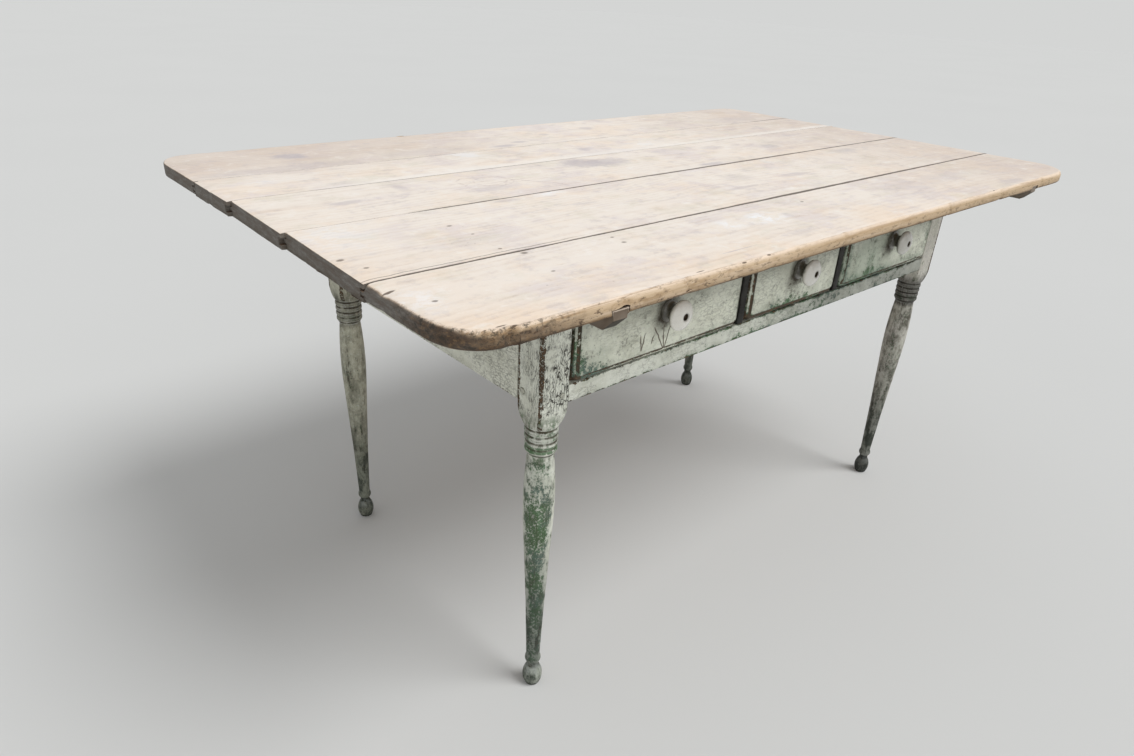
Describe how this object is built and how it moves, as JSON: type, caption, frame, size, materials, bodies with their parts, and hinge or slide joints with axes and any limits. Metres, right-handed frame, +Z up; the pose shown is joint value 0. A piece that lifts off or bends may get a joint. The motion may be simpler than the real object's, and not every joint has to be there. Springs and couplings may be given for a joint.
{
  "type": "kitchen table with drawers",
  "caption": "Wooden kitchen table with a round-cornered plank top, tapered turned legs and a row of drawers with porcelain knobs in one long side.",
  "frame": {"origin": "on the floor, under the middle of the table", "axes": "+X along the table to the right as seen from the drawers, +Y from the drawers to the back, +Z up"},
  "size_m": [1.544, 0.924, 0.75],
  "materials": {
    "painted_wood": "old cracked paint, matt",
    "top_wood": "worn, matt",
    "inner_wood": "bare, sawn",
    "peg_wood": "bare",
    "porcelain": "glazed",
    "iron": "dark, dull"
  },
  "bodies": {
    "frame": {"leg_front_left": "painted_wood", "leg_front_right": "painted_wood", "leg_back_left": "painted_wood", "leg_back_right": "painted_wood", "end_apron_left": "painted_wood", "end_apron_right": "painted_wood", "back_apron": "painted_wood", "front_rail_lower": "painted_wood", "front_rail_upper": "painted_wood", "drawer_divider_1": "painted_wood", "drawer_divider_2": "painted_wood", "drawer_runner_left": "inner_wood", "drawer_runner_middle_1": "inner_wood", "drawer_runner_middle_2": "inner_wood", "drawer_runner_right": "inner_wood", "drawer_kicker_left": "inner_wood", "drawer_kicker_middle_1": "inner_wood", "drawer_kicker_middle_2": "inner_wood", "drawer_kicker_right": "inner_wood", "drawer_guide_left": "inner_wood", "drawer_guide_right": "inner_wood", "drawer_guide_middle_1": "inner_wood", "drawer_guide_middle_2": "inner_wood", "top_board_1": "top_wood", "top_board_2": "top_wood", "top_board_3": "top_wood", "top_board_4": "top_wood", "top_board_5": "top_wood", "top_batten_left": "top_wood", "top_batten_right": "top_wood", "frame_pegs": "peg_wood", "top_pins": "peg_wood"},
    "drawer_1": {"drawer_1_front": "painted_wood", "drawer_1_side_left": "inner_wood", "drawer_1_side_right": "inner_wood", "drawer_1_back": "inner_wood", "drawer_1_bottom": "inner_wood", "drawer_1_knob": "porcelain", "drawer_1_knob_bolt": "iron", "drawer_1_knob_nut": "iron"},
    "drawer_2": {"drawer_2_front": "painted_wood", "drawer_2_side_left": "inner_wood", "drawer_2_side_right": "inner_wood", "drawer_2_back": "inner_wood", "drawer_2_bottom": "inner_wood", "drawer_2_knob": "porcelain", "drawer_2_knob_bolt": "iron", "drawer_2_knob_nut": "iron"},
    "drawer_3": {"drawer_3_front": "painted_wood", "drawer_3_side_left": "inner_wood", "drawer_3_side_right": "inner_wood", "drawer_3_back": "inner_wood", "drawer_3_bottom": "inner_wood", "drawer_3_knob": "porcelain", "drawer_3_knob_bolt": "iron", "drawer_3_knob_nut": "iron"}
  },
  "joints": [
    {"name": "drawer_1_slide", "type": "slide", "parent": "frame", "child": "drawer_1", "axis": [0, -1, 0], "range_m": [0, 0.43]},
    {"name": "drawer_2_slide", "type": "slide", "parent": "frame", "child": "drawer_2", "axis": [0, -1, 0], "range_m": [0, 0.43]},
    {"name": "drawer_3_slide", "type": "slide", "parent": "frame", "child": "drawer_3", "axis": [0, -1, 0], "range_m": [0, 0.43]}
  ]
}
